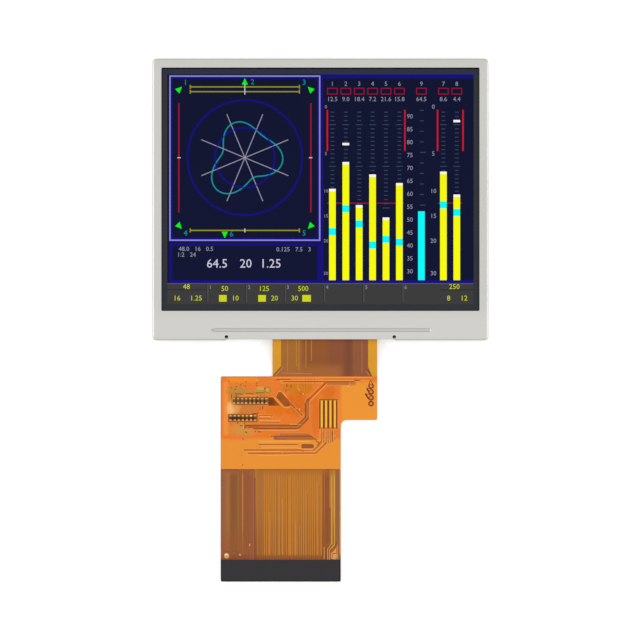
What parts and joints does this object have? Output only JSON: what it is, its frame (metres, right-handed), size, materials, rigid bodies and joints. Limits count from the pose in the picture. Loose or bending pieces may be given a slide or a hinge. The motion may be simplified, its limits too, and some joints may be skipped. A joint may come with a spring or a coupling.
{
  "type": "tft display module",
  "caption": "Flat colour display module in a folded steel bezel, with a lit screen and a flexible circuit tail for a board connector.",
  "frame": {"origin": "centre of the module's rear face, the face it rests on", "axes": "+X to the right of the screen, +Y to its top, +Z the way the screen faces; the flexible circuit leaves towards -Y"},
  "size_m": [0.0768, 0.1198, 0.0033],
  "materials": {
    "bezel_steel": "matt tin-plated sheet",
    "rear_steel": "matt tin-plated sheet",
    "frame_white": "white moulded polycarbonate",
    "reflector_white": "white film",
    "guide_acrylic": "clear acrylic",
    "diffuser_white": "frosted film",
    "prism_film": "fine ribbed film",
    "tape_black": "black tape",
    "cushion_foam": "black foam",
    "polarizer_rear": "dark film",
    "cell_glass": "thin clear glass",
    "polarizer_front": "dark anti-glare film",
    "silicon": "polished silicon",
    "strip_polyimide": "amber film",
    "solder": "bright solder",
    "lamp_case": "white moulded resin",
    "phosphor": "yellow phosphor resin",
    "polyimide": "amber film",
    "neck_copper": "copper under amber film",
    "tail_copper": "copper under amber film",
    "gold": "gold plated",
    "stiffener_dark": "dark laminate",
    "route_copper": "copper under orange film",
    "coverlay_orange": "orange film",
    "capacitor_ceramic": "tan ceramic",
    "resistor_dark": "dark glaze",
    "picture_navy": "lit pixels",
    "picture_violet": "lit pixels",
    "picture_yellow": "lit pixels",
    "picture_cyan": "lit pixels",
    "picture_grey": "lit pixels"
  },
  "bodies": {
    "root": {"front_bezel": "bezel_steel", "rear_plate": "rear_steel", "moulded_frame": "frame_white", "reflector_film": "reflector_white", "light_guide": "guide_acrylic", "diffuser_film": "diffuser_white", "lower_prism_film": "prism_film", "upper_prism_film": "prism_film", "rim_tape": "tape_black", "bezel_cushion": "cushion_foam", "rear_polarizer": "polarizer_rear", "array_glass": "cell_glass", "colour_filter_glass": "cell_glass", "front_polarizer": "polarizer_front", "driver_chip": "silicon", "led_strip": "strip_polyimide", "lead_joints": "solder", "backlight_leds": "lamp_case", "led_windows": "phosphor", "flex_circuit": "polyimide", "neck_traces": "neck_copper", "tail_traces": "tail_copper", "contact_fingers": "gold", "tail_stiffener": "stiffener_dark", "signal_traces": "route_copper", "component_coverlay": "coverlay_orange", "touch_pads": "gold", "test_pads": "gold", "alignment_pads": "gold", "chip_capacitors": "capacitor_ceramic", "chip_resistors": "resistor_dark", "chip_terminals": "solder", "picture_ground": "picture_navy", "picture_panels": "picture_violet", "picture_yellow_bars": "picture_yellow", "picture_cyan_bars": "picture_cyan", "picture_keys": "picture_grey"}
  },
  "joints": []
}
